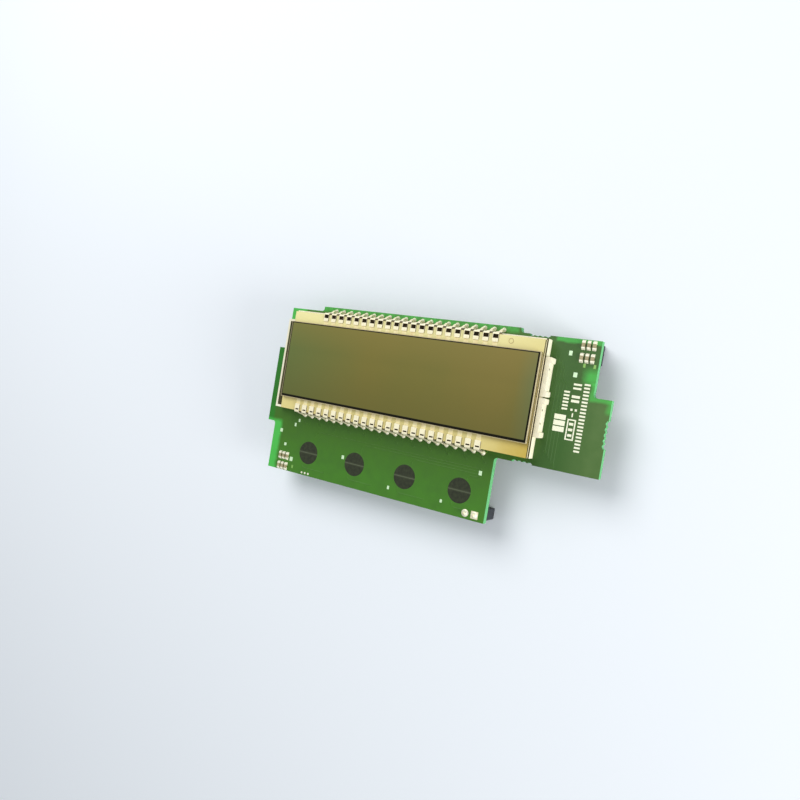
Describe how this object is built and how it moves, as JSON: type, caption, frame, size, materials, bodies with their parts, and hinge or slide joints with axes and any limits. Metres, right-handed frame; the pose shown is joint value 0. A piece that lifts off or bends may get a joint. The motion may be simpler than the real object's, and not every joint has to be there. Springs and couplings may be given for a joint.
{
  "type": "display circuit board",
  "caption": "Green circuit board carrying a blank segment display on edge-clip pins over its backlight, with round carbon key contacts, chip resistors and rear sockets.",
  "frame": {"origin": "middle of the board's outline, at the level of the rear sockets' mouths", "axes": "+X along the display as it is read, +Y to its upper edge, +Z the way it faces"},
  "size_m": [0.0976, 0.0478, 0.0145],
  "materials": {
    "mask": "green solder mask over glass laminate, glossy",
    "ivory": "translucent ivory moulding, satin",
    "film": "white film, matt",
    "clear_plastic": "clear moulding, polished",
    "display_glass": "thin flat glass, polished",
    "polariser": "olive film, satin",
    "tin": "tinned metal, semi-bright",
    "carbon": "printed carbon, matt",
    "black_plastic": "black moulding, matt",
    "chip_black": "black coated ceramic, satin",
    "chip_tan": "tan ceramic, satin",
    "legend": "ivory legend ink, matt",
    "lamp_white": "white lamp body"
  },
  "bodies": {
    "root": {"circuit_board": "mask", "backlight_frame": "ivory", "reflector_film": "film", "light_guide": "clear_plastic", "diffuser_film": "film", "rear_polariser": "polariser", "rear_glass": "display_glass", "front_glass": "display_glass", "front_polariser": "polariser", "backlight_lamps": "lamp_white", "backlight_lamp_lenses": "clear_plastic", "display_pins_top": "tin", "display_pins_bottom": "tin", "key_contact_1": "carbon", "key_contact_2": "carbon", "key_contact_3": "carbon", "key_contact_4": "carbon", "chip_resistors_upper": "chip_black", "chip_resistor_ends_upper": "tin", "chip_resistors_lower": "chip_black", "chip_resistor_ends_lower": "tin", "test_pads": "tin", "post_pads": "tin", "lower_socket": "black_plastic", "lower_socket_posts": "tin", "upper_socket": "black_plastic", "upper_socket_feet": "tin", "driver_chip": "black_plastic", "driver_chip_leads": "tin", "capacitor_bodies": "chip_tan", "capacitor_ends": "tin", "dropper_bodies": "chip_black", "dropper_ends": "tin", "legend_print": "legend"}
  },
  "joints": []
}
